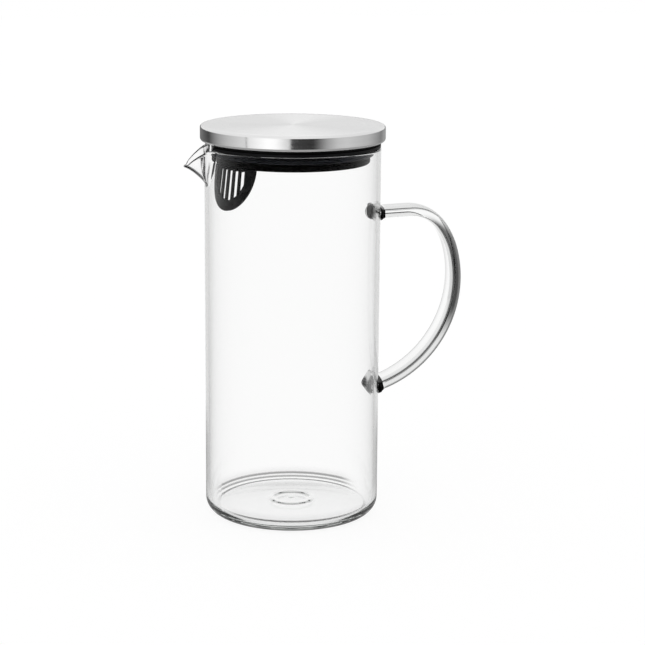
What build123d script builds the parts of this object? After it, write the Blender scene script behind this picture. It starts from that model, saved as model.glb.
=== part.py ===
from build123d import *

import math
import os

# Glass body: a straight tube with a rounded foot and a pushed-up floor
body_diameter = 105.0
glass_height = 224.5
glass_wall = 2.4
foot_corner = 9.0
foot_land = 5.0
floor_corner = 5.2
base_thickness = 4.6
push_up = 2.5
floor_ring_radius = 11.9
floor_ring_width = 5.0
floor_ring_height = 0.35
floor_knot_radius = 3.0
floor_knot_height = 0.3

# Spout: a trough with a round bottom, drawn out of the rim and drooping to its tip
spout_overhang = 12.7
spout_drop = 10.4
spout_depth = 23.5
spout_half_angle = 16.0
spout_root_angle = 14.0
spout_tip_angle = 21.3
spout_root_keel = 11.0
spout_tip_keel = 4.5
spout_tip_wall = 1.2
spout_tip_edge = 0.9
spout_keel_bow = 1.42
spout_lip_bow = 1.5
spout_stations = (-0.35, 0.0, 1 / 3, 2 / 3, 1.0)

# Handle: a barrel-section strap bent to a D, with an almost straight run and three arcs
strap_width = 20.8
strap_thickness = 7.2
strap_side = 4.1
strap_edge = 0.6
handle_drop = 41.0
handle_rise_angle = 2.2
handle_run_length = 20.9
crown_radius = 23.6
crown_angle = 56.4
grip_radius = 43.7
grip_angle = 20.6
tail_radius = 68.8

# Welds of the handle: a button inside the wall, a neck through it and a collar outside
weld_collar = 2.0
collar_margin = 0.4
collar_flare_angle = 20.0
upper_button_diameter = 9.4
upper_button_crest = 6.2
upper_button_depth = 5.0
lower_button_diameter = 15.6
lower_button_crest = 5.0
lower_button_depth = 6.2
crest_flat = 0.2
weld_neck = 7.0

# Lid cap: drawn steel sheet with a rounded top edge and a lower edge rolled inwards
cap_overhang = 2.5
cap_height = 9.2
cap_sheet = 0.8
cap_top_round = 1.5
cap_hem_round = 1.8
cap_hem = 2.4

# Lid plug: a hollow moulding that hangs in the mouth
plug_neck_clearance = 1.0
plug_neck_height = 1.4
plug_lip_inset = 2.3
plug_lip_height = 4.3
plug_lip_round = 1.4
plug_depth = 9.2
plug_wall = 2.0
plug_roof = 3.0
plug_disc_round = 1.3

# Seal: a silicone ring with a flange on the rim and a sleeve in the mouth
seal_flange_inset = 0.2
seal_flange = 1.5
seal_sleeve_clearance = 1.8
seal_sleeve_wall = 3.6
seal_round = 1.4
seal_groove_width = 1.2
seal_groove_depth = 0.5

# Strainer: a slotted tongue on a cone, clipped inside the plug
strainer_half_width = 19.4
strainer_drop = 24.8
strainer_lean_angle = 6.5
strainer_thickness = 1.2
strainer_tab_height = 7.0
strainer_ledge = 1.6
strainer_turn_angle = 26.0
slot_count = 6
slot_pitch_angle = 5.8
slot_width = 3.0
slot_side_margin = 4.6
slot_end_margin = 6.2
slot_top_margin = 0.4

# Clearances
running_gap = 0.3
snap_gap = 0.1

# Sizes that follow from the ones above
body_radius = body_diameter / 2
inner_radius = body_radius - glass_wall
foot_radius = body_radius - foot_corner
land_radius = foot_radius - foot_land
spout_root = body_radius * math.cos(math.radians(spout_half_angle))
spout_reach = body_radius + spout_overhang
handle_height = glass_height - handle_drop
collar_face = body_radius + weld_collar
seal_bottom = glass_height + running_gap
seal_top = seal_bottom + seal_flange
sleeve_radius = inner_radius - seal_sleeve_clearance
seal_bore = sleeve_radius - seal_sleeve_wall
neck_bottom = seal_top + running_gap
cap_radius = body_radius + cap_overhang
cap_bottom = neck_bottom + plug_neck_height
cap_top = cap_bottom + cap_height
plug_bottom = glass_height - plug_depth
groove_radius = seal_bore - running_gap
lip_radius = sleeve_radius - plug_lip_inset
lip_top = plug_bottom + plug_lip_height
bore_radius = groove_radius - plug_wall
upper_button = (upper_button_diameter, upper_button_crest, upper_button_depth)
lower_button = (lower_button_diameter, lower_button_crest, lower_button_depth)
overcut = 10.0


def half_section(inside, outside, low, high):
    """A rectangle in the radius and height plane."""
    centre = Pos((inside + outside) / 2, (low + high) / 2)
    return centre * Rectangle(outside - inside, high - low)


def turned(profile):
    """A solid of revolution about the jug's axis."""
    return revolve(Plane.XZ * profile, Axis.Z)


def rounded(profile, corner, radius):
    """The profile with the vertex nearest to a corner rounded off."""
    vertex = profile.vertices().sort_by_distance(corner)[0]
    return fillet(vertex, radius)


def underside(radius):
    """Height of the pushed-up underside at a radius."""
    dome = (land_radius**2 + push_up**2) / (2 * push_up)
    return push_up - dome + math.sqrt(dome**2 - radius**2)


def floor(radius):
    """Height of the floor inside the jug at a radius."""
    return base_thickness + underside(radius)


def glass_profile():
    """Half section of the wall, foot and floor, with a rounded rim."""
    rim_start = glass_height - glass_wall / 2
    ring_outer = floor_ring_radius + floor_ring_width / 2
    ring_inner = floor_ring_radius - floor_ring_width / 2
    ring_top = floor(floor_ring_radius) + floor_ring_height
    knot_top = floor(0) + floor_knot_height
    middle = (land_radius + ring_outer) / 2
    outline = [
        TangentArc((0, push_up), (land_radius, 0), tangent=(1, 0)),
        Line((land_radius, 0), (foot_radius, 0)),
        TangentArc((foot_radius, 0), (body_radius, foot_corner), tangent=(1, 0)),
        Line((body_radius, foot_corner), (body_radius, rim_start)),
        TangentArc((body_radius, rim_start), (inner_radius, rim_start), tangent=(0, 1)),
        Line((inner_radius, rim_start), (inner_radius, base_thickness + floor_corner)),
        TangentArc(
            (inner_radius, base_thickness + floor_corner),
            (inner_radius - floor_corner, base_thickness),
            tangent=(0, -1),
        ),
        Line((inner_radius - floor_corner, base_thickness), (land_radius, base_thickness)),
        ThreePointArc(
            (land_radius, base_thickness),
            (middle, floor(middle)),
            (ring_outer, floor(ring_outer)),
        ),
        ThreePointArc(
            (ring_outer, floor(ring_outer)),
            (floor_ring_radius, ring_top),
            (ring_inner, floor(ring_inner)),
        ),
        Line((ring_inner, floor(ring_inner)), (floor_knot_radius, floor(floor_knot_radius))),
        TangentArc((0, knot_top), (floor_knot_radius, floor(floor_knot_radius)), tangent=(1, 0)),
        Line((0, knot_top), (0, push_up)),
    ]
    return make_face(outline)


def spout_lip(along):
    """Distance from the axis and height of the lip, 0 at the rim and 1 at the tip."""
    distance = spout_root + (spout_reach - spout_root) * along
    return distance, glass_height - spout_drop * along**spout_lip_bow


def spout_section(along, inset):
    """One section across the spout, from its rounded keel up to above the rim."""
    distance = spout_root + (spout_reach - spout_root) * along
    root_low = glass_height - spout_depth
    tip_low = glass_height - spout_drop - spout_tip_edge
    low = root_low + (tip_low - root_low) * (1 - (1 - along) ** spout_keel_bow)
    keel = spout_root_keel + (spout_tip_keel - spout_root_keel) * along
    wall = glass_wall + (spout_tip_wall - glass_wall) * max(along, 0)
    spread = spout_root_angle + (spout_tip_angle - spout_root_angle) * max(along, 0)
    lean = math.radians(spread)
    radius = keel - inset * wall
    centre = low + keel
    top = glass_height + overcut
    reach = radius / math.cos(lean) + (top - centre) * math.tan(lean)
    side = radius * math.cos(lean)
    foot = centre - radius * math.sin(lean)
    outline = [
        ThreePointArc((side, foot), (0, centre - radius), (-side, foot)),
        Line((-side, foot), (-reach, top)),
        Line((-reach, top), (reach, top)),
        Line((reach, top), (side, foot)),
    ]
    across = Plane((-distance, 0, 0), x_dir=(0, 1, 0), z_dir=(1, 0, 0))
    return across * make_face(outline)


def above_lip():
    """Everything over the rim and the lip, on the spout's side of the axis."""
    top = glass_height + 2 * overcut
    far = spout_reach + overcut
    lip = [spout_lip(along) for along in (0, 0.5, 1)]
    tip = lip[-1]
    outline = [
        Line((0, glass_height), (-spout_root, glass_height)),
        ThreePointArc(*[(-distance, height) for distance, height in lip]),
        Line((-tip[0], tip[1]), (-far, tip[1])),
        Line((-far, tip[1]), (-far, top)),
        Line((-far, top), (0, top)),
        Line((0, top), (0, glass_height)),
    ]
    return extrude(Plane.XZ * make_face(outline), body_radius, both=True)


def glass_body(welds):
    """The blown jug with its spout, and the holes that the handle's welds fill."""
    tube = turned(glass_profile())
    beak = loft([spout_section(along, 0) for along in spout_stations])
    channel = loft([spout_section(along, 1) for along in spout_stations])
    hollow = Pos(0, 0, glass_height) * Cylinder(inner_radius, 2 * glass_height)
    glass = tube + (beak - hollow) - above_lip() - channel
    for height in welds:
        glass -= weld_rod(height)
    return glass


def collar_plane(height):
    """The face of a weld's collar, where the strap starts, looking outwards."""
    return Plane((collar_face, 0, height), x_dir=(0, 1, 0), z_dir=(1, 0, 0))


def weld_rod(height):
    """The round neck of a weld, from the button through the wall to the collar."""
    length = weld_collar + 2 * glass_wall
    rod = Cylinder(weld_neck / 2, length, align=(Align.CENTER, Align.CENTER, Align.MAX))
    return collar_plane(height) * rod


def handle_path():
    """Centre line of the strap, from the upper weld round and in past the lower one."""
    run = PolarLine((inner_radius, handle_height), handle_run_length, handle_rise_angle)
    crown = JernArc(run @ 1, run % 1, crown_radius, -crown_angle)
    grip = JernArc(crown @ 1, crown % 1, grip_radius, -grip_angle)
    tail = JernArc(grip @ 1, grip % 1, tail_radius, -90)
    return run, crown, grip, tail


def weld_heights():
    """Heights at which the strap meets the faces of the two collars."""
    tail = handle_path()[-1]
    climb = math.tan(math.radians(handle_rise_angle))
    upper = handle_height + (collar_face - inner_radius) * climb
    centre = tail.arc_center
    lower = centre.Y - math.sqrt(tail_radius**2 - (collar_face - centre.X) ** 2)
    return upper, lower


def strap_section(slope, margin):
    """Barrel section with narrow flat sides, as cut at a slope, and enlarged by a margin."""
    stretch = 1 / math.cos(math.radians(slope))
    half = strap_width / 2 + margin
    side = strap_side / 2 * stretch + margin
    crest = strap_thickness / 2 * stretch + margin
    outline = [
        ThreePointArc((-half, side), (0, crest), (half, side)),
        Line((half, side), (half, -side)),
        ThreePointArc((half, -side), (0, -crest), (-half, -side)),
        Line((-half, -side), (-half, side)),
    ]
    return fillet(make_face(outline).vertices(), strap_edge + margin)


def handle():
    """The glass strap, cut off flat at the collars."""
    path = Plane.XZ * Curve(handle_path())
    start = Plane(path @ 0, x_dir=(0, 1, 0), z_dir=path % 0)
    strap = sweep(start * strap_section(0, 0), path)
    inside = Pos(collar_face - body_radius, 0, handle_height / 2)
    return strap - inside * Box(body_diameter, body_diameter, 2 * handle_height)


def weld(height, button_sizes, slope, glass):
    """A fused boss: button, neck and collar, moulded to the wall."""
    diameter, crest, depth = button_sizes
    button = Cone(diameter / 2, crest / 2, depth, align=(Align.CENTER, Align.CENTER, Align.MIN))
    button = fillet(button.edges().sort_by(Axis.Z)[-1], (crest - crest_flat) / 2)
    inwards = Plane((inner_radius, 0, height), x_dir=(0, 1, 0), z_dir=(-1, 0, 0))
    depth = weld_collar + glass_wall
    collar = extrude(strap_section(slope, collar_margin), -depth, taper=-collar_flare_angle)
    boss = inwards * button + weld_rod(height) + collar_plane(height) * collar
    return boss - glass


def pour_gap():
    """The sector over the spout's mouth, from the seal's sleeve outwards and up to the cap."""
    profile = half_section(sleeve_radius, cap_radius, seal_bottom, cap_bottom)
    sector = revolve(Plane.XZ * profile, Axis.Z, 2 * spout_half_angle)
    return Rot(0, 0, 180 - spout_half_angle) * sector


def lid_cap():
    """Drawn steel cover with its edge rolled under the plug's disc."""
    outside = half_section(0, cap_radius, cap_bottom, cap_top)
    outside = rounded(outside, (cap_radius, cap_top), cap_top_round)
    outside = rounded(outside, (cap_radius, cap_bottom), cap_hem_round)
    inside = half_section(0, cap_radius - cap_sheet, cap_bottom + cap_sheet, cap_top - cap_sheet)
    inside = rounded(inside, (cap_radius, cap_top), cap_top_round - cap_sheet)
    inside = rounded(inside, (cap_radius, cap_bottom), cap_hem_round - cap_sheet)
    opening = half_section(0, cap_radius - cap_hem, cap_bottom, cap_bottom + cap_sheet)
    return turned(outside - inside - opening)


def lid_plug():
    """Black moulding: disc in the cap, open neck, groove for the seal and a lip, hollow from below."""
    disc_radius = cap_radius - cap_sheet - snap_gap
    disc_low = cap_bottom + cap_sheet + snap_gap
    disc_high = cap_top - cap_sheet - snap_gap
    disc = half_section(0, disc_radius, disc_low, disc_high)
    disc = rounded(disc, (disc_radius, disc_low), plug_disc_round)
    disc = rounded(disc, (disc_radius, disc_high), plug_disc_round)
    neck_radius = cap_radius - cap_hem - plug_neck_clearance
    neck = half_section(0, neck_radius, neck_bottom, disc_high - plug_roof)
    groove = half_section(0, groove_radius, plug_bottom, disc_high - plug_roof)
    lip = half_section(0, lip_radius, plug_bottom, lip_top)
    lip = rounded(lip, (lip_radius, plug_bottom), plug_lip_round)
    bore = half_section(0, bore_radius, plug_bottom, disc_high - plug_roof)
    return turned(disc + neck + groove + lip - bore) - pour_gap()


def seal_ring():
    """Silicone ring: open flange on the glass rim, sleeve with a shallow groove below it."""
    sleeve_low = lip_top + running_gap
    flange = half_section(seal_bore, body_radius - seal_flange_inset, seal_bottom, seal_top)
    sleeve = half_section(seal_bore, sleeve_radius, sleeve_low, seal_top)
    sleeve = rounded(sleeve, (sleeve_radius, sleeve_low), seal_round)
    groove_low = (sleeve_low + seal_round + seal_bottom - seal_groove_width) / 2
    groove = half_section(
        sleeve_radius - seal_groove_depth,
        sleeve_radius + overcut,
        groove_low,
        groove_low + seal_groove_width,
    )
    return turned(flange + (sleeve - groove)) - pour_gap()


def bow(side_margin, end_margin):
    """The tongue's half ellipse below the plug, drawn in by margins, across and up."""
    half_width = strainer_half_width - side_margin
    drop = strainer_drop - end_margin
    below = Rectangle(2 * half_width, drop, align=(Align.CENTER, Align.MAX))
    return Pos(0, plug_bottom) * (Ellipse(half_width, drop) & below)


def through_wall(outline):
    """An outline drawn across and up, carried from the axis out along X."""
    across = Plane((0, 0, 0), x_dir=(0, 1, 0), z_dir=(1, 0, 0))
    return extrude(across * outline, body_radius)


def strainer_slots():
    """Upright slots side by side, their lower ends following the tongue's edge."""
    bar = Box(body_radius, slot_width, strainer_drop, align=(Align.MIN, Align.CENTER, Align.MAX))
    top = Pos(0, 0, plug_bottom - slot_top_margin)
    field = through_wall(bow(slot_side_margin, slot_end_margin))
    first = -slot_pitch_angle * (slot_count - 1) / 2
    angles = [first + slot_pitch_angle * number for number in range(slot_count)]
    return [top * Rot(0, 0, angle) * bar & field for angle in angles]


def strainer():
    """Slotted tongue that leans towards the wall, with a clip tab inside the plug."""
    tab_outer = bore_radius - snap_gap
    tab_inner = tab_outer - strainer_thickness
    tab_top = plug_bottom + strainer_tab_height
    ledge_low = plug_bottom - strainer_ledge
    low = plug_bottom - strainer_drop
    low_outer = lip_radius + strainer_drop * math.tan(math.radians(strainer_lean_angle))
    blade = Polyline(
        (lip_radius, plug_bottom),
        (low_outer, low),
        (low_outer - strainer_thickness, low),
        (lip_radius - strainer_thickness, plug_bottom),
        close=True,
    )
    ledge = half_section(tab_inner, lip_radius - strainer_thickness / 2, ledge_low, plug_bottom)
    tab = half_section(tab_inner, tab_outer, ledge_low, tab_top)
    half_clip = strainer_half_width - slot_side_margin
    clip = turned(ledge + tab) & through_wall(half_section(-half_clip, half_clip, ledge_low, tab_top))
    tongue = turned(make_face(blade)) & through_wall(bow(0, 0))
    tongue += clip
    for slot in strainer_slots():
        tongue -= slot
    return Rot(0, 0, 180 + strainer_turn_angle) * tongue


def jug_pieces():
    """Every piece of the jug and its lid, by name."""
    upper, lower = weld_heights()
    glass = glass_body((upper, lower))
    tail_reach = collar_face - handle_path()[-1].arc_center.X
    lower_slope = math.degrees(math.asin(tail_reach / tail_radius))
    return {
        "glass_body": glass,
        "handle": handle(),
        "upper_handle_weld": weld(upper, upper_button, handle_rise_angle, glass),
        "lower_handle_weld": weld(lower, lower_button, lower_slope, glass),
        "lid_cap": lid_cap(),
        "lid_plug": lid_plug(),
        "seal_ring": seal_ring(),
        "strainer": strainer(),
    }


os.makedirs("parts", exist_ok=True)
for node, piece in jug_pieces().items():
    export_step(piece, f"parts/{node}.step")
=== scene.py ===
import math

import bmesh
import bpy
import numpy as np
from mathutils import Matrix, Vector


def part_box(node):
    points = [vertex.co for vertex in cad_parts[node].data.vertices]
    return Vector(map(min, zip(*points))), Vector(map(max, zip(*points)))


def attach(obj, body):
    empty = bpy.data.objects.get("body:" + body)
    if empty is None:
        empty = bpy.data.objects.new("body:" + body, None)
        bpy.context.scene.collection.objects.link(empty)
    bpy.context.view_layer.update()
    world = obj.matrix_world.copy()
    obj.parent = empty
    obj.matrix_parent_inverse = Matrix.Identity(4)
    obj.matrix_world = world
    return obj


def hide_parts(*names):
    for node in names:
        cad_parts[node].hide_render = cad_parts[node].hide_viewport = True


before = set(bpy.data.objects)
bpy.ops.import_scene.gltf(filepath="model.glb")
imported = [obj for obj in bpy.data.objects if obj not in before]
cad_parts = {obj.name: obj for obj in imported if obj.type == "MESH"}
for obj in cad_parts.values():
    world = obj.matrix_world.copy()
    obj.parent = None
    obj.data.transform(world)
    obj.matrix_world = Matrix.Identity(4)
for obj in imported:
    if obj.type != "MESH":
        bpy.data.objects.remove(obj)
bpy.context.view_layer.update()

mm = 0.001

# Outer sizes of the glass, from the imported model
glass_low, glass_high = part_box("glass_body")
body_radius = glass_high.y
glass_height = glass_high.z
spout_reach = -glass_low.x

# Glass: wall, foot and floor
glass_wall = 2.4 * mm
inner_radius = body_radius - glass_wall
foot_corner = 9.0 * mm
floor_corner = 5.2 * mm
base_thickness = 4.6 * mm
push_up = 2.5 * mm
floor_ring_radius = 11.9 * mm
floor_ring_width = 5.0 * mm
floor_ring_height = 0.4 * mm
floor_knot_radius = 3.0 * mm
floor_knot_height = 0.15 * mm
foot_radius = body_radius - foot_corner

# Rings of points on the floor: closer together inside the first radius, the last one at the second
fine_floor = 17.0 * mm
pole_gap = 0.4 * mm

# Spout: a trough with a round bottom
spout_drop = 10.4 * mm
spout_depth = 23.5 * mm
spout_half_angle = math.radians(16)
spout_root = body_radius * math.cos(spout_half_angle)
spout_root_spread = math.radians(14)
spout_tip_spread = math.radians(21.3)
spout_root_keel = 11.0 * mm
spout_tip_keel = 4.5 * mm
spout_tip_wall = 1.2 * mm
spout_tip_edge = 0.9 * mm
spout_keel_bow = 1.42
spout_lip_bow = 1.5
spout_start = -0.35
spout_crease_low = 1.2 * mm
spout_crease_high = 7.0 * mm
spout_zone = glass_height - 32 * mm

# Handle: a strap with a straight run and three arcs
strap_width = 20.8 * mm
strap_thickness = 7.2 * mm
strap_side = 4.1 * mm
strap_edge = 0.6 * mm
handle_height = glass_height - 41.0 * mm
handle_rise = math.radians(2.2)
handle_run = 20.9 * mm
handle_arcs = (
    (23.6 * mm, math.radians(56.4)),
    (43.7 * mm, math.radians(20.6)),
    (68.8 * mm, math.radians(90.0)),
)
weld_collar = 2.0 * mm
collar_end = body_radius + weld_collar
collar_flare = 1.0 * mm
collar_flare_reach = 1.6 * mm
collar_bead = 0.4 * mm
collar_bead_edge = 0.3 * mm

# Blobs of the welds inside the wall: radius at the wall, radius near the tip, and depth
upper_blob = (4.7 * mm, 4.4 * mm, 5.0 * mm)
lower_blob = (7.8 * mm, 3.2 * mm, 6.2 * mm)

# Painted shade band of the grip: where it starts at the crown, and where it thins and splits lower down
painted_band_start = (85 * mm, 94 * mm)
painted_band_whole = (92 * mm, 126 * mm)
painted_band_split = (106 * mm, 128 * mm)

# Lid cap: drawn sheet with a rounded top edge and a lower edge rolled inwards
cap_low, cap_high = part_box("lid_cap")
cap_overhang = 2.5 * mm
cap_radius = body_radius + cap_overhang
cap_bottom, cap_top = cap_low.z, cap_high.z
cap_sheet = 0.8 * mm
cap_top_round = 1.5 * mm
cap_hem_round = 1.8 * mm
cap_hem = 2.4 * mm
cap_pole_gap = 0.5 * mm

# Camera fitted to the photograph: place in metres, lens in millimetres, turns in degrees
camera_place = (-0.23465, -1.1682, 0.38779)
camera_lens = 112.78
camera_turns = ((-12.24, "Z"), (90 - 12.797, "X"), (0.417, "Z"))
camera_turn = math.degrees(math.atan2(camera_place[1], camera_place[0]))
camera_range = math.hypot(camera_place[0], camera_place[1])
view_x, view_y = -camera_place[0] / camera_range, -camera_place[1] / camera_range

# Studio: levels of light, where 1 is white, and what is lost at each reflection inside glass
floor_side = 4.0
floor_paint = 0.15
floor_glow = 0.89
floor_mirror_loss = 0.59
floor_echo = 0.7
world_echo = 0.82
world_diffuse_loss = 0.25
camera_side_loss = 0.9
ceiling_loss = 0.35
wall_strength = 1.12
studio_radius = 0.8
studio_height = 0.3

# Studio wall that only rough faces mirror: turn from the camera in degrees, and light
wall_lights = (
    (-180, 0.18), (-150, 0.17), (-123, 0.06), (-100, 0.4), (-85, 0.56), (-58, 0.76), (-57, 0.1),
    (-55.5, 0.85), (-30, 1.15), (-20, 1.1), (-9.5, 0.82), (-4, 0.72), (-1.5, 0.05), (24, 0.03),
    (30, 0.12), (41, 0.38), (55, 0.62), (68, 0.68), (102, 0.55), (136, 0.24), (152, 0.37), (180, 0.18),
)


def revolve_columns():
    """Angles round the axis, closer together where the spout is."""
    fine = np.radians(np.linspace(-24, 24, 161))
    coarse = np.radians(np.linspace(24, 336, 126))[1:-1]
    return np.concatenate([fine, coarse])


def arc(centre, radius, start, end, count):
    """Points on an arc, from one angle to another in degrees."""
    angles = np.radians(np.linspace(start, end, count))
    return np.stack([centre[0] + radius * np.cos(angles), centre[1] + radius * np.sin(angles)], 1)


def line(start, end, count):
    """Points on a straight line, both ends included."""
    return np.linspace(start, end, count)


def joined(*runs):
    """One outline from several runs of points, without repeated points."""
    points = np.concatenate(runs)
    keep = np.ones(len(points), bool)
    keep[1:] = np.linalg.norm(np.diff(points, axis=0), axis=1) > 1e-7
    return points[keep]


def joined_values(first, second):
    """Two runs of values, the second without its repeated first one."""
    return np.concatenate([first, second[1:]])


def underside(radius):
    """Height of the pushed-up underside at a radius."""
    share = np.minimum(radius / foot_radius, 1)
    return push_up * (1 - share**2) ** 2


def floor_height(radius):
    """Height of the floor inside, with its ring and knot as soft swells."""
    ring = floor_ring_height * np.exp(-(((radius - floor_ring_radius) / (floor_ring_width / 2.4)) ** 2))
    knot = floor_knot_height * np.exp(-((radius / (floor_knot_radius / 1.5)) ** 2))
    return base_thickness + underside(radius) + ring + knot


def trough_half_width(x, z, inset):
    """Half width of the spout's trough at a distance from the axis and a height."""
    along = np.clip((x - spout_root) / (spout_reach - spout_root), spout_start, 1)
    ahead = np.maximum(along, 0)
    root_low = glass_height - spout_depth
    tip_low = glass_height - spout_drop - spout_tip_edge
    low = root_low + (tip_low - root_low) * (1 - (1 - along) ** spout_keel_bow)
    keel = spout_root_keel + (spout_tip_keel - spout_root_keel) * along
    wall = glass_wall + (spout_tip_wall - glass_wall) * ahead
    spread = spout_root_spread + (spout_tip_spread - spout_root_spread) * ahead
    radius = keel - inset * wall
    rise = z - low - keel
    straight = radius / np.cos(spread) + rise * np.tan(spread)
    curved = np.sqrt(np.maximum(radius**2 - rise**2, 0))
    below = rise + radius
    return np.where(rise > -radius * np.sin(spread), straight, np.where(below > 0, curved, below))


def soft_max(a, b, width):
    """The larger of two values, with a rounded change from one to the other."""
    share = np.clip(0.5 + 0.5 * (a - b) / width, 0, 1)
    return b + (a - b) * share + width * share * (1 - share)


def wall_radius(turn, z, inset):
    """Radius of the outer (inset 0) or inner (inset 1) face of the glass, spout included."""
    plain = body_radius - inset * glass_wall
    low = np.full(np.broadcast(turn, z).shape, 0.8 * plain)
    high = low * 0 + spout_reach / np.maximum(np.cos(turn), 0.5)
    for _ in range(40):
        middle = (low + high) / 2
        inside = trough_half_width(middle * np.cos(turn), z, inset) > middle * np.abs(np.sin(turn))
        inside &= np.cos(turn) > 0.5
        low = np.where(inside, middle, low)
        high = np.where(inside, high, middle)
    share = np.clip((z - glass_height + spout_depth) / spout_depth, 0, 1)
    return soft_max(low, plain, spout_crease_low + (spout_crease_high - spout_crease_low) * share)


def lip_height(x):
    """Height of the rim, and of the drooping lip past the spout's root."""
    along = np.clip((x - spout_root) / (spout_reach - spout_root), 0, 1)
    return glass_height - spout_drop * along**spout_lip_bow


def top_height(turn, inset):
    """Height at which the wall ends at each angle."""
    low = np.full(turn.shape, glass_height - spout_drop - 4 * mm)
    high = np.full(turn.shape, glass_height)
    for _ in range(36):
        middle = (low + high) / 2
        under = middle < lip_height(wall_radius(turn, middle, inset) * np.cos(turn))
        low = np.where(under, middle, low)
        high = np.where(under, high, middle)
    return high


def foot_outline():
    """Radius and height outside, from the middle of the underside up to where the spout starts."""
    radii = line(pole_gap, foot_radius, 30)
    return joined(
        np.stack([radii, underside(radii)], 1),
        arc((foot_radius, foot_corner), foot_corner, -90, 0, 16),
        line((body_radius, foot_corner), (body_radius, spout_zone), 20),
    )


def floor_outline():
    """Radius and height inside, from where the spout starts down to the middle of the floor."""
    reach = inner_radius - floor_corner
    radii = joined_values(line(reach, fine_floor, 10), line(fine_floor, pole_gap, 42))
    return joined(
        line((inner_radius, spout_zone), (inner_radius, base_thickness + floor_corner), 20),
        arc((reach, base_thickness + floor_corner), floor_corner, 0, -90, 14),
        np.stack([radii, floor_height(radii)], 1),
    )


def lip_rows(start, end, lip_round):
    """Rows over the fire-polished lip, from the outer face to the inner one."""
    rows = []
    for angle in line(0, math.pi, 11)[1:-1]:
        radius, height = ((a + b) / 2 + (a - b) / 2 * np.cos(angle) for a, b in zip(start, end))
        rows.append((radius, height + lip_round * np.sin(angle)))
    return rows


def glass_rows():
    """Rows of points over the whole glass skin, from the underside's middle to the floor's."""
    turn = revolve_columns()
    even = np.ones(turn.shape)
    outer_top, inner_top = top_height(turn, 0), top_height(turn, 1)
    outer = wall_radius(turn, outer_top, 0)
    inner = wall_radius(turn, inner_top, 1)
    lip_round = np.minimum(glass_wall / 2, (outer - inner) / 2)
    outer_end, inner_end = outer_top - lip_round, inner_top - lip_round
    rows = [(r * even, z * even) for r, z in foot_outline()]
    for share in line(0, 1, 44)[1:]:
        z = spout_zone + (outer_end - spout_zone) * share
        rows.append((wall_radius(turn, z, 0), z))
    rows += lip_rows(rows[-1], (wall_radius(turn, inner_end, 1), inner_end), lip_round)
    for share in line(1, 0, 44)[:-1]:
        z = spout_zone + (inner_end - spout_zone) * share
        rows.append((wall_radius(turn, z, 1), z))
    rows += [(r * even, z * even) for r, z in floor_outline()]
    return np.array([np.stack([-r * np.cos(turn), -r * np.sin(turn), z], 1) for r, z in rows])


def skin(name, rows, first_pole, last_pole):
    """A closed mesh over rows of points that each go round once, between two poles."""
    count, around = rows.shape[:2]
    vertices = [tuple(p) for p in rows.reshape(-1, 3)] + [tuple(first_pole), tuple(last_pole)]
    first, last = len(vertices) - 2, len(vertices) - 1
    end = (count - 1) * around
    faces = []
    for low in range(0, end, around):
        high = low + around
        for j in range(around):
            k = (j + 1) % around
            faces.append((low + j, low + k, high + k, high + j))
    faces += [(first, (j + 1) % around, j) for j in range(around)]
    faces += [(last, end + j, end + (j + 1) % around) for j in range(around)]
    mesh = bpy.data.meshes.new(name)
    mesh.from_pydata(vertices, [], faces)
    mesh.validate()
    piece = bpy.data.objects.new(name, mesh)
    bpy.context.scene.collection.objects.link(piece)
    outward(mesh)
    return piece


def outward(mesh):
    """Face normals of a closed mesh turned outwards, and smooth shading."""
    work = bmesh.new()
    work.from_mesh(mesh)
    bmesh.ops.recalc_face_normals(work, faces=work.faces)
    work.to_mesh(mesh)
    work.free()
    mesh.polygons.foreach_set("use_smooth", [True] * len(mesh.polygons))
    mesh.update()


def lathe(name, outline):
    """A body turned about the jug's axis from an outline of radius and height between two poles."""
    turn = np.linspace(0, 2 * math.pi, 256, endpoint=False)
    rows = [np.stack([r * np.cos(turn), r * np.sin(turn), 0 * turn + z], 1) for r, z in outline]
    return skin(name, np.array(rows), (0, 0, outline[0][1]), (0, 0, outline[-1][1]))


def glass_shell():
    """The glass body with its spout, without the handle."""
    rows = glass_rows()
    low = (0, 0, push_up)
    high = (0, 0, float(floor_height(np.array(0.0))))
    return skin("glass_jug", rows, low, high)


def handle_frames():
    """Centre, radius, turn and first heading of each arc of the strap, and where it starts."""
    heading = handle_rise
    forward = np.array([math.cos(heading), math.sin(heading)])
    point = np.array([inner_radius, handle_height]) + handle_run * forward
    frames = []
    for radius, turn in handle_arcs:
        centre = point + radius * np.array([math.sin(heading), -math.cos(heading)])
        frames.append((centre, radius, turn, heading, point))
        heading -= turn
        point = centre + radius * np.array([-math.sin(heading), math.cos(heading)])
    return frames


def weld_heights():
    """Heights at which the strap meets its two collars."""
    centre, radius = handle_frames()[2][:2]
    upper = handle_height + (glass_wall + weld_collar) * math.tan(handle_rise)
    lower = centre[1] - math.sqrt(radius**2 - (collar_end - centre[0]) ** 2)
    return upper, lower


def handle_stations():
    """Place and direction along the strap's centre line, in the plane of the handle."""
    start = np.array([inner_radius, handle_height])
    forward = np.array([math.cos(handle_rise), math.sin(handle_rise)])
    near_wall = line(glass_wall * 0.3, glass_wall + weld_collar + 0.4 * mm, 26)
    run = joined_values(near_wall, line(near_wall[-1], handle_run, 12))
    places = [start + s * forward for s in run]
    headings = [handle_rise] * len(places)
    for centre, radius, turn, heading, _ in handle_frames():
        count = max(8, int(radius * turn / (0.8 * mm)))
        for share in line(0, 1, count)[1:]:
            now = heading - turn * share
            places.append(centre + radius * np.array([-math.sin(now), math.cos(now)]))
            headings.append(now)
    inside = [i for i in range(len(run), len(places)) if places[i][0] < inner_radius + glass_wall * 0.3]
    end = inside[0] if inside else len(places)
    return np.array(places[:end]), np.array(headings[:end])


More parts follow.
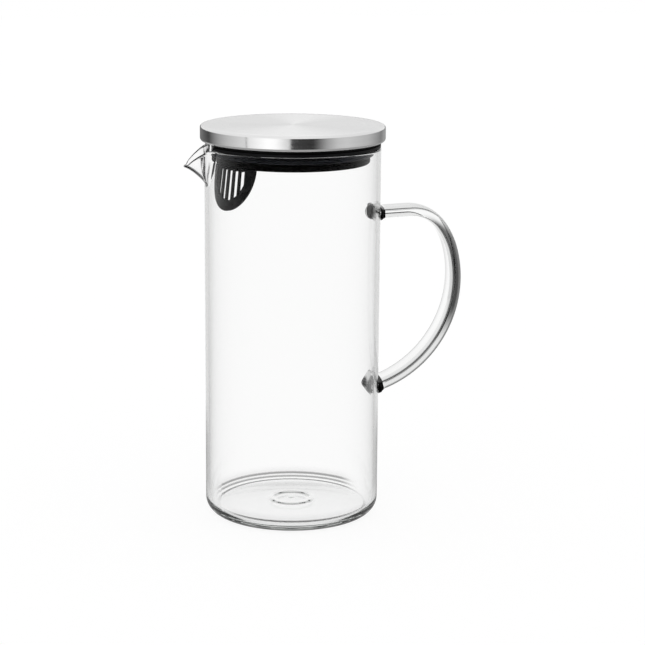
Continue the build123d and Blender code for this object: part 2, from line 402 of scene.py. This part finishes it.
def strap_section():
    """Barrel section of the strap: across the handle's plane, and outwards in it."""
    half, crown = strap_width / 2, (strap_thickness - strap_side) / 2
    bend = (half**2 + crown**2) / (2 * crown)
    low = strap_thickness / 2 - bend
    corner = half - strap_edge
    turn = math.degrees(math.acos(corner / (bend - strap_edge)))
    height = low + (bend - strap_edge) * math.sin(math.radians(turn))
    edge = arc((corner, height), strap_edge, 0, turn, 6)
    face = arc((0, low), bend, turn, 90, 12)
    quarter = joined(edge, face)
    upper = joined(quarter, quarter[::-1] * (-1, 1))
    return joined(upper, -upper)


def collar_offset(distance):
    """How far the glass swells out from the strap at a distance from the wall."""
    flare = collar_flare * np.clip(1 - distance / collar_flare_reach, 0, 1) ** 1.5
    bead = collar_bead * np.clip((weld_collar - distance) / collar_bead_edge, 0, 1) ** 0.5
    return flare + bead


def strap():
    """The handle's strap, swept along its centre line and swollen at both welds."""
    places, headings = handle_stations()
    section = strap_section()
    along = np.roll(section, -1, 0) - np.roll(section, 1, 0)
    direction = np.stack([along[:, 1], -along[:, 0]], 1) / np.linalg.norm(along, axis=1)[:, None]
    rows = []
    for place, heading in zip(places, headings):
        swell = collar_offset(max(place[0] - body_radius, 0))
        outline = section + direction * swell
        out = np.array([-math.sin(heading), math.cos(heading)])
        x = place[0] + outline[:, 1] * out[0]
        z = place[1] + outline[:, 1] * out[1]
        rows.append(np.stack([x, outline[:, 0], z], 1))
    rows = np.array(rows)
    return skin("strap", rows, rows[0].mean(0), rows[-1].mean(0))


def button(name, height, outline):
    """A blob of glass on the inside of the wall: outline is depth from the wall and radius."""
    turn = np.linspace(0, 2 * math.pi, 48, endpoint=False)
    rows = []
    for depth, radius in outline:
        x = np.full(turn.shape, inner_radius - depth)
        rows.append(np.stack([x, radius * np.cos(turn), height + radius * np.sin(turn)], 1))
    rows = np.array(rows)
    first = (inner_radius - outline[0][0], 0, height)
    last = (inner_radius - outline[-1][0], 0, height)
    return skin(name, rows, first, last)


def fuse(base, others):
    """Joins closed meshes into the first as one skin and deletes the others."""
    for other in others:
        cut = base.modifiers.new(other.name, "BOOLEAN")
        cut.operation = "UNION"
        cut.solver = "EXACT"
        cut.object = other
    state = bpy.context.evaluated_depsgraph_get()
    mesh = bpy.data.meshes.new_from_object(base.evaluated_get(state))
    base.modifiers.clear()
    base.data = mesh
    for other in others:
        bpy.data.objects.remove(other)
    mesh.polygons.foreach_set("use_smooth", [True] * len(mesh.polygons))
    mesh.set_sharp_from_angle(angle=math.radians(40))
    return base


def blob_outline(radius, crest, depth):
    """Depth and radius over a rounded blob that narrows from the wall to its crest."""
    share = line(0, 1, 15)
    swell = np.sqrt(np.maximum(1 - share**2.2, 0))
    width = crest + (radius - crest) * (1 - share)
    rows = [(-0.5 * glass_wall, radius), (-0.05 * glass_wall, radius)]
    return rows + [(depth * d, max(w * q, 0.3 * mm)) for d, w, q in zip(share[1:], width[1:], swell[1:])]


def glass_jug():
    """Glass body, strap and weld blobs as one skin, as fused glass is."""
    upper, lower = weld_heights()
    dome = button("upper_blob", upper, blob_outline(*upper_blob))
    cone = button("lower_blob", lower, blob_outline(*lower_blob))
    return fuse(glass_shell(), [strap(), dome, cone])


def cap_outline():
    """Radius and height over the drawn sheet, from the middle of its top to the middle of its inside."""
    edge = cap_radius - cap_top_round
    hem = cap_radius - cap_hem_round
    opening = cap_radius - cap_hem
    inner_round, inner_hem = cap_top_round - cap_sheet, cap_hem_round - cap_sheet
    return joined(
        line((cap_pole_gap, cap_top), (edge, cap_top), 24),
        arc((edge, cap_top - cap_top_round), cap_top_round, 90, 0, 10),
        arc((hem, cap_bottom + cap_hem_round), cap_hem_round, 0, -90, 10),
        line((hem, cap_bottom), (opening, cap_bottom), 3),
        line((opening, cap_bottom), (opening, cap_bottom + cap_sheet), 3),
        arc((hem, cap_bottom + cap_hem_round), inner_hem, -90, 0, 8),
        arc((edge, cap_top - cap_top_round), inner_round, 0, 90, 8),
        line((edge, cap_top - cap_sheet), (cap_pole_gap, cap_top - cap_sheet), 8),
    )


def steel_cap():
    """The lid's cap of drawn sheet."""
    piece = lathe("steel_cap", cap_outline())
    piece.data.set_sharp_from_angle(angle=math.radians(35))
    return piece


class Graph:
    """Short calls that add nodes to a material or world."""

    def __init__(self, tree):
        self.tree = tree

    def add(self, kind, **settings):
        node = self.tree.nodes.new("ShaderNode" + kind)
        for name, value in settings.items():
            setattr(node, name, value)
        return node

    def feed(self, socket, value):
        if isinstance(value, bpy.types.NodeSocket):
            self.tree.links.new(value, socket)
        else:
            socket.default_value = value

    def math(self, operation, a, b=0.0):
        node = self.add("Math", operation=operation)
        self.feed(node.inputs[0], a)
        self.feed(node.inputs[1], b)
        return node.outputs[0]

    def ramp(self, value, low, high, start=0.0, end=1.0, smooth=True):
        """A change from one value to another while the input goes from low to high."""
        node = self.add("MapRange", interpolation_type="SMOOTHSTEP" if smooth else "LINEAR")
        for name, number in (("From Min", low), ("From Max", high), ("To Min", start), ("To Max", end)):
            node.inputs[name].default_value = number
        self.feed(node.inputs["Value"], value)
        return node.outputs["Result"]

    def band(self, value, low, high, soft):
        """One between two limits and nothing outside them."""
        rise = self.ramp(value, low - soft, low + soft)
        fall = self.ramp(value, high - soft, high + soft, 1.0, 0.0)
        return self.math("MULTIPLY", rise, fall)

    def times(self, first, *others):
        for other in others:
            first = self.math("MULTIPLY", first, other)
        return first

    def rest(self, value):
        """What is left of one."""
        return self.math("SUBTRACT", 1.0, value)

    def length(self, a, b):
        """Length of a vector with two parts."""
        return self.math("SQRT", self.math("ADD", self.times(a, a), self.times(b, b)))

    def place(self):
        """Coordinates of the object: x, y, z, and the distance from its axis."""
        split = self.add("SeparateXYZ")
        self.feed(split.inputs[0], self.add("TexCoord").outputs["Object"])
        x, y, z = split.outputs
        return x, y, z, self.length(x, y)

    def noise(self, vector, scale, detail):
        node = self.add("TexNoise")
        node.inputs["Scale"].default_value = scale
        node.inputs["Detail"].default_value = detail
        self.feed(node.inputs["Vector"], vector)
        return node.outputs["Fac"]

    def bump(self, height, strength, distance):
        node = self.add("Bump")
        node.inputs["Strength"].default_value = strength
        node.inputs["Distance"].default_value = distance
        self.feed(node.inputs["Height"], height)
        return node.outputs["Normal"]

    def grey(self, value):
        node = self.add("CombineColor")
        for socket in node.inputs:
            self.feed(socket, value)
        return node.outputs[0]


def new_material(name):
    """A material, calls for its nodes, and its shader."""
    material = bpy.data.materials.new(name)
    material.use_nodes = True
    return material, Graph(material.node_tree), material.node_tree.nodes["Principled BSDF"]


def strap_offset(graph, x, z):
    """Distance outwards from the strap's centre line, in the plane of the handle."""
    offset = end = None
    for centre, radius, _, _, start in reversed(handle_frames()):
        dx, dz = graph.math("SUBTRACT", x, centre[0]), graph.math("SUBTRACT", z, centre[1])
        now = graph.math("SUBTRACT", graph.length(dx, dz), radius)
        if offset is not None:
            above = graph.math("GREATER_THAN", z, end)
            now = graph.math("ADD", offset, graph.times(above, graph.math("SUBTRACT", now, offset)))
        offset, end = now, start[1]
    return offset


def painted_strap_shade(graph, x, y, z):
    """Painted shade: a dark band on the narrow sides of the grip, which splits into two lines further
    down.
    """
    offset = strap_offset(graph, x, z)
    half = strap_width / 2
    side = graph.ramp(graph.math("ABSOLUTE", y), half - 0.5 * mm, half - 0.1 * mm)
    split = graph.ramp(z, *painted_band_split, 1.0, 0.0)
    whole = graph.ramp(z, *painted_band_whole)
    crown = graph.math("SUBTRACT", x, graph.times(offset, 3.0))
    core = graph.times(graph.ramp(crown, *painted_band_start), whole, whole)
    core = graph.times(core, graph.ramp(offset, 0.1 * mm, 1.1 * mm, 0.93, 0.68))
    inner = graph.times(graph.ramp(offset, -1.8 * mm, -1.1 * mm, 0.85, 0.0), split)
    outer = graph.times(graph.ramp(offset, 0.4 * mm, 1.4 * mm, 0.0, 0.7), split)
    on_strap = graph.ramp(x, collar_end, collar_end + 2 * mm)
    return graph.times(side, on_strap, graph.math("ADD", core, graph.math("ADD", inner, outer)))


def painted_blob_shade(graph, y, z, height, rim, rim_shade, middle_shade, top_share):
    """Painted shade of a weld's blob by the distance from its middle, with only a share of it in the
    upper half, which leaves a painted highlight there.
    """
    dz = graph.math("SUBTRACT", z, height)
    far = graph.length(y, dz)
    shade = graph.ramp(far, 0.4 * rim, rim, middle_shade, rim_shade)
    shade = graph.times(shade, graph.ramp(far, 8 * mm, 9 * mm, 1.0, 0.0))
    return graph.times(shade, graph.ramp(dz, 0.0, 2.5 * mm, 1.0, top_share))


def painted_weld_shade(graph, x, y, z, across):
    """Painted shade on the collars round the strap's ends, and on the blobs inside the wall."""
    upper, lower = weld_heights()
    handle_side = graph.ramp(x, 40 * mm, 44 * mm)
    collar = graph.times(
        graph.ramp(across, body_radius + 0.1 * mm, body_radius + 0.3 * mm),
        graph.ramp(x, collar_end - 0.1 * mm, collar_end + 0.1 * mm, 1.0, 0.0),
    )
    inside = graph.ramp(across, inner_radius - 0.5 * mm, inner_radius - 0.2 * mm, 1.0, 0.0)
    blobs = graph.math(
        "ADD",
        painted_blob_shade(graph, y, z, upper, 3.6 * mm, 0.92, 0.2, 0.3),
        painted_blob_shade(graph, y, z, lower, 6.5 * mm, 0.3, 0.45, 1.0),
    )
    return graph.times(handle_side, graph.math("ADD", collar, graph.times(inside, blobs)))


def painted_spout_shade(graph, x, y, z):
    """Painted shade on the spout's polished lip, and painted dark lines along its keel and its near
    crease.
    """
    along = graph.ramp(x, -spout_root, -spout_reach, 0.0, 1.0, False)
    drop = graph.times(graph.math("POWER", along, spout_lip_bow), spout_drop)
    below_lip = graph.math("SUBTRACT", graph.math("SUBTRACT", glass_height, drop), z)
    past_wall = graph.ramp(x, -body_radius - 0.5 * mm, -body_radius - 2 * mm)
    lip = graph.times(graph.ramp(below_lip, 0.9 * mm, 1.7 * mm, 1.0, 0.0), past_wall)
    lip = graph.times(lip, graph.ramp(y, -1 * mm, 1 * mm, 1.0, 0.1))
    root_low = glass_height - spout_depth
    climb = glass_height - spout_drop - spout_tip_edge - root_low
    to_go = graph.math("POWER", graph.rest(along), spout_keel_bow)
    low = graph.math("ADD", root_low, graph.times(graph.rest(to_go), climb))
    above_keel = graph.math("SUBTRACT", z, low)
    keel = graph.times(graph.ramp(above_keel, 0.3 * mm, 1.0 * mm, 1.0, 0.0), past_wall)
    rise = graph.ramp(z, root_low, glass_height, 0.0, 1.0, False)
    half = graph.times(graph.math("SQRT", rise), body_radius * math.sin(spout_root_spread))
    crease = graph.band(graph.math("ADD", y, half), -0.5 * mm, 0.5 * mm, 0.3 * mm)
    crease = graph.times(crease, graph.ramp(x, -40 * mm, -45 * mm), graph.band(rise, 0.12, 0.66, 0.1))
    return graph.math("MAXIMUM", graph.math("MAXIMUM", lip, keel), graph.times(crease, 0.85))


def painted_heel_shade(graph, x, z, across):
    """Painted dark lines of shade where the floor turns up into the wall, fading towards spout and
    handle.
    """
    toe = inner_radius - floor_corner
    heel = graph.times(
        graph.band(across, toe - 0.7 * mm, toe + 1.1 * mm, 0.4 * mm),
        graph.band(z, base_thickness - 0.4 * mm, base_thickness + 1.0 * mm, 0.2 * mm),
    )
    bend = graph.times(
        graph.band(across, toe + 2.6 * mm, toe + 3.8 * mm, 0.5 * mm),
        graph.band(z, base_thickness + 0.5 * mm, base_thickness + 2.4 * mm, 0.4 * mm),
    )
    rise = graph.times(
        graph.band(across, toe + 4.3 * mm, toe + 5.7 * mm, 0.2 * mm),
        graph.ramp(z, base_thickness + 1.9 * mm, base_thickness + 2.7 * mm),
        graph.math("ADD", graph.ramp(z, base_thickness + 3.3 * mm, base_thickness + 4.2 * mm, 0.65, 0.0),
                   graph.ramp(z, base_thickness + 3.5 * mm, base_thickness + 8.5 * mm, 0.2, 0.0)),
    )
    lines = graph.math("MAXIMUM", graph.times(heel, 0.9), graph.times(bend, 0.85))
    lines = graph.math("MAXIMUM", lines, rise)
    return graph.times(graph.ramp(graph.math("ABSOLUTE", x), 38 * mm, 47 * mm, 1.0, 0.0), lines)


def painted_outline_shade(graph, x, y):
    """Painted shade: thin dark outlines where strap and spout turn away from the eye."""
    weight = graph.add("LayerWeight")
    weight.inputs["Blend"].default_value = 0.5
    facing = weight.outputs["Facing"]
    normal = graph.add("SeparateXYZ")
    graph.feed(normal.inputs[0], graph.add("NewGeometry").outputs["Normal"])
    on_strap = graph.ramp(x, collar_end, collar_end + 2 * mm)
    on_strap = graph.times(on_strap, graph.ramp(normal.outputs[2], -0.7, -0.3))
    on_spout = graph.ramp(x, -body_radius - 0.5 * mm, -body_radius - 2 * mm)
    on_spout = graph.times(on_spout, graph.ramp(y, 0.0, 2 * mm, 1.0, 0.0))
    strap_line = graph.times(graph.ramp(facing, 0.65, 0.95), on_strap, 0.8)
    spout_line = graph.times(graph.ramp(facing, 0.8, 0.98), on_spout, 0.6)
    return graph.math("ADD", strap_line, spout_line)


def painted_glass_shade(graph):
    """Painted shade in the glass's colour: strap, welds, spout and foot."""
    x, y, z, across = graph.place()
    clear = None
    for shade in (
        painted_outline_shade(graph, x, y),
        painted_strap_shade(graph, x, y, z),
        painted_weld_shade(graph, x, y, z, across),
        painted_spout_shade(graph, x, y, z),
        painted_heel_shade(graph, x, z, across),
    ):
        left = graph.math("MAXIMUM", graph.rest(shade), 0.0)
        clear = left if clear is None else graph.times(clear, left)
    return clear


def glass_material():
    """Clear glass with a faint waviness, painted shade by place, and a rougher skin on the blobs."""
    material, graph, shader = new_material("clear_glass")
    shader.inputs["Transmission Weight"].default_value = 1.0
    x, _, z, across = graph.place()
    inside = graph.ramp(across, inner_radius - 0.6 * mm, inner_radius - 0.3 * mm, 1.0, 0.0)
    blobs = graph.times(inside, graph.ramp(x, 40 * mm, 42 * mm), graph.ramp(z, 60 * mm, 62 * mm))
    rough = graph.times(blobs, graph.ramp(z, 120 * mm, 130 * mm, 0.3, 0.12))
    graph.feed(shader.inputs["Roughness"], rough)
    shader.inputs["IOR"].default_value = 1.47
    shader.inputs["Specular Tint"].default_value = (0.04, 0.04, 0.04, 1)
    # Painted shade: the base colour darkens the glass in lines and bands by place
    graph.feed(shader.inputs["Base Color"], graph.grey(painted_glass_shade(graph)))
    absorb = graph.add("VolumeAbsorption")
    absorb.inputs["Color"].default_value = (0.83, 0.86, 0.84, 1)
    absorb.inputs["Density"].default_value = 8.0
    output = material.node_tree.nodes["Material Output"]
    graph.feed(output.inputs["Volume"], absorb.outputs["Volume"])
    waves = graph.noise(graph.add("TexCoord").outputs["Object"], 60.0, 1.0)
    graph.feed(shader.inputs["Normal"], graph.bump(waves, 0.02, 0.5 * mm))
    return material


def steel_material():
    """Stainless steel, spun-brushed in rings, with faint painted spokes of light, a painted highlight,
    on its top.
    """
    material, graph, shader = new_material("spun_steel")
    x, y, z, across = graph.place()
    rings = graph.add("CombineXYZ")
    graph.feed(rings.inputs[0], graph.times(across, 900.0))
    graph.feed(rings.inputs[1], graph.times(z, 900.0))
    lines = graph.noise(rings.outputs[0], 3.0, 3.0)
    # Painted highlight: spokes of light on the top are painted into the colour
    spin = graph.math("ARCTAN2", y, x)
    highlight_fan = graph.math("COSINE", graph.math("ADD", graph.times(spin, 2.0), -2.36))
    highlight_fan = graph.math("POWER", graph.math("ADD", graph.times(highlight_fan, 0.5), 0.5), 4.0)
    fine = graph.math("SINE", graph.math("ADD", graph.times(spin, 5.0), 1.9))
    painted_spokes = graph.math("ADD", graph.times(highlight_fan, 0.09), graph.times(fine, 0.012))
    level = graph.math("ADD", graph.ramp(lines, 0.3, 0.7, 0.69, 0.73, False), painted_spokes)
    graph.feed(shader.inputs["Base Color"], graph.grey(level))
    skirt = graph.ramp(across, cap_radius - 1.0 * mm, cap_radius - 0.3 * mm, 0.0, -0.14)
    rough = graph.math("ADD", graph.ramp(lines, 0.3, 0.7, 0.2, 0.28, False), skirt)
    graph.feed(shader.inputs["Roughness"], rough)
    shader.inputs["Metallic"].default_value = 1.0
    shader.inputs["Anisotropic"].default_value = 0.6
    tangent = graph.add("Tangent", direction_type="RADIAL", axis="Z")
    graph.feed(shader.inputs["Tangent"], tangent.outputs[0])
    graph.feed(shader.inputs["Normal"], graph.bump(lines, 0.04, 0.05 * mm))
    return material


def black_material(name, colour, roughness, grain, gloss, painted_shade_from=1.0):
    """Black moulding with a fine grain, and painted shade, a deeper black, above a height."""
    material, graph, shader = new_material(name)
    where = graph.add("TexCoord").outputs["Object"]
    speckle = graph.noise(where, grain, 4.0)
    mix = graph.add("Mix", data_type="RGBA")
    graph.feed(mix.inputs["Factor"], speckle)
    mix.inputs["A"].default_value = (*[0.7 * c for c in colour], 1)
    mix.inputs["B"].default_value = (*[1.3 * c for c in colour], 1)
    # Painted shade: above the height the colour turns a deeper black
    painted_shade = graph.add("Mix", data_type="RGBA")
    graph.feed(painted_shade.inputs["Factor"], graph.ramp(graph.place()[2], painted_shade_from - 0.3 * mm, painted_shade_from))
    graph.feed(painted_shade.inputs["A"], mix.outputs["Result"])
    painted_shade.inputs["B"].default_value = (*[0.1 * c for c in colour], 1)
    graph.feed(shader.inputs["Base Color"], painted_shade.outputs["Result"])
    rough = graph.ramp(speckle, 0.3, 0.7, roughness - 0.05, roughness + 0.07, False)
    graph.feed(shader.inputs["Roughness"], rough)
    shader.inputs["Specular IOR Level"].default_value = gloss
    graph.feed(shader.inputs["Normal"], graph.bump(speckle, 0.15, 0.05 * mm))
    return material


def ray_kind(graph):
    """Of a ray: through glass, mirrored by a rough face, mirrored by polish, and echoes in glass."""
    path = graph.add("LightPath")
    inside = graph.math("MINIMUM", path.outputs["Transmission Depth"], 1.0)
    mirrored = graph.math("MINIMUM", path.outputs["Glossy Depth"], 1.0)
    mirrored = graph.times(mirrored, graph.rest(inside))
    polished = graph.times(mirrored, path.outputs["Is Singular Ray"])
    rough = graph.math("SUBTRACT", mirrored, polished)
    return inside, rough, polished, graph.times(path.outputs["Glossy Depth"], inside)


def studio_world():
    """White world that bent and mirrored rays see darker at the camera's side and overhead."""
    scene = bpy.context.scene
    scene.view_settings.view_transform = "Standard"
    paths = scene.cycles
    paths.max_bounces, paths.glossy_bounces, paths.transmission_bounces = 32, 24, 24
    world = bpy.data.worlds.new("studio")
    scene.world = world
    world.use_nodes = True
    graph = Graph(world.node_tree)
    inside, _, polished, echoes = ray_kind(graph)
    heading = graph.add("SeparateXYZ")
    graph.feed(heading.inputs[0], graph.add("TexCoord").outputs["Generated"])
    x, y, z = heading.outputs
    to_camera = graph.math("ADD", graph.times(x, -view_x), graph.times(y, -view_y))
    camera_side = graph.times(graph.ramp(to_camera, 0.15, 0.5), inside, camera_side_loss)
    ceiling = graph.times(graph.ramp(z, 0.1, 0.4), polished, ceiling_loss)
    diffuse = graph.times(graph.add("LightPath").outputs["Is Diffuse Ray"], world_diffuse_loss)
    strength = graph.times(graph.rest(diffuse), graph.rest(graph.math("MAXIMUM", camera_side, ceiling)))
    strength = graph.times(strength, graph.math("POWER", world_echo, echoes))
    background = world.node_tree.nodes["Background"]
    background.inputs["Color"].default_value = (1, 1, 1, 1)
    graph.feed(background.inputs["Strength"], strength)


def sheet(name, vertices, faces):
    """A piece of the studio with an empty material, which the caller fills."""
    mesh = bpy.data.meshes.new(name)
    mesh.from_pydata(vertices, [], faces)
    piece = bpy.data.objects.new(name, mesh)
    bpy.context.scene.collection.objects.link(piece)
    material = bpy.data.materials.new(name)
    material.use_nodes = True
    material.node_tree.nodes.clear()
    mesh.materials.append(material)
    graph = Graph(material.node_tree)
    return piece, graph, graph.add("OutputMaterial")


def studio_floor():
    """White floor that keeps the shadow, darker round the jug in mirrored rays and in glass."""
    low, high = -floor_side, floor_side
    corners = [(low, low, 0), (high, low, 0), (high, high, 0), (low, high, 0)]
    _, graph, output = sheet("floor", corners, [(0, 1, 2, 3)])
    _, mirrored, polished, echoes = ray_kind(graph)
    x, y, _, across = graph.place()
    behind = graph.math("ADD", graph.times(x, view_x), graph.times(y, view_y))
    beside = graph.ramp(graph.math("DIVIDE", behind, across), 0.6, 0.8, 1.0, 0.0)
    beside = graph.math("MAXIMUM", beside, graph.ramp(across, 0.15, 0.3, 1.0, 0.0))
    mirrored = graph.math("MAXIMUM", mirrored, graph.times(polished, beside))
    dim = graph.math("POWER", floor_echo, echoes)
    under = graph.ramp(across, body_radius, body_radius + 40 * mm, 1.0, 0.0)
    dim = graph.math("ADD", dim, graph.times(under, graph.rest(dim), 0.7))
    plain = graph.math("SUBTRACT", floor_glow, graph.times(mirrored, floor_mirror_loss))
    diffuse = graph.add("BsdfDiffuse")
    diffuse.inputs["Color"].default_value = (floor_paint, floor_paint, floor_paint, 1)
    glow = graph.add("Emission")
    graph.feed(glow.inputs["Strength"], graph.times(dim, plain))
    both = graph.add("AddShader")
    graph.feed(both.inputs[0], diffuse.outputs[0])
    graph.feed(both.inputs[1], glow.outputs[0])
    graph.feed(output.inputs["Surface"], both.outputs[0])


def studio_wall():
    """A ring of panels round the jug, light and dark by turns, which only rough faces mirror."""
    count = 96
    angles = np.linspace(0, 2 * math.pi, count, endpoint=False)
    low = [(studio_radius * math.cos(a), studio_radius * math.sin(a), 0) for a in angles]
    high = [(x, y, studio_height) for x, y, _ in low]
    faces = [(i, (i + 1) % count, count + (i + 1) % count, count + i) for i in range(count)]
    wall, graph, output = sheet("studio_wall", low + high, faces)
    wall.visible_camera = wall.visible_diffuse = wall.visible_transmission = wall.visible_shadow = False
    x, y = graph.place()[:2]
    turn = graph.times(graph.math("ARCTAN2", y, x), 180 / math.pi)
    turn = graph.math("WRAP", graph.math("SUBTRACT", turn, camera_turn), 180.0)
    turn.node.inputs[2].default_value = -180.0
    level = wall_lights[0][1]
    for (start, first), (end, second) in zip(wall_lights, wall_lights[1:]):
        level = graph.math("ADD", level, graph.ramp(turn, start, end, 0.0, second - first, False))
    glow = graph.add("Emission")
    graph.feed(glow.inputs["Strength"], graph.times(level, wall_strength))
    rough_only = graph.add("MixShader")
    graph.feed(rough_only.inputs[0], graph.add("LightPath").outputs["Is Singular Ray"])
    graph.feed(rough_only.inputs[1], glow.outputs[0])
    graph.feed(rough_only.inputs[2], graph.add("BsdfTransparent").outputs[0])
    graph.feed(output.inputs["Surface"], rough_only.outputs[0])


def camera():
    """The photograph's camera."""
    scene = bpy.context.scene
    data = bpy.data.cameras.new("camera")
    data.sensor_width = 36.0
    data.lens = camera_lens
    eye = bpy.data.objects.new("camera", data)
    scene.collection.objects.link(eye)
    stand = Matrix.Translation(camera_place)
    for degrees, axis in camera_turns:
        stand = stand @ Matrix.Rotation(math.radians(degrees), 4, axis)
    eye.matrix_world = stand
    scene.camera = eye


def dress(piece, material):
    """Gives a piece one material."""
    piece.data.materials.clear()
    piece.data.materials.append(material)


jug = glass_jug()
dress(jug, glass_material())
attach(jug, "jug")
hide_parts("glass_body", "handle", "upper_handle_weld", "lower_handle_weld")

cap = steel_cap()
dress(cap, steel_material())
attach(cap, "lid")
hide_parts("lid_cap")

plastic = black_material("black_plastic", (0.001, 0.001, 0.0011), 0.42, 900.0, 0.05)
dress(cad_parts["lid_plug"], plastic)
mesh_plastic = black_material("strainer_plastic", (0.012, 0.012, 0.013), 0.45, 900.0, 0.15)
dress(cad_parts["strainer"], mesh_plastic)
# The silicone's flange above the glass rim gets painted shade, standing for the shadow under the cap
silicone = black_material("black_silicone", (0.015, 0.0165, 0.0215), 0.36, 500.0, 0.1, glass_height)
dress(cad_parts["seal_ring"], silicone)

studio_world()
studio_floor()
studio_wall()
camera()
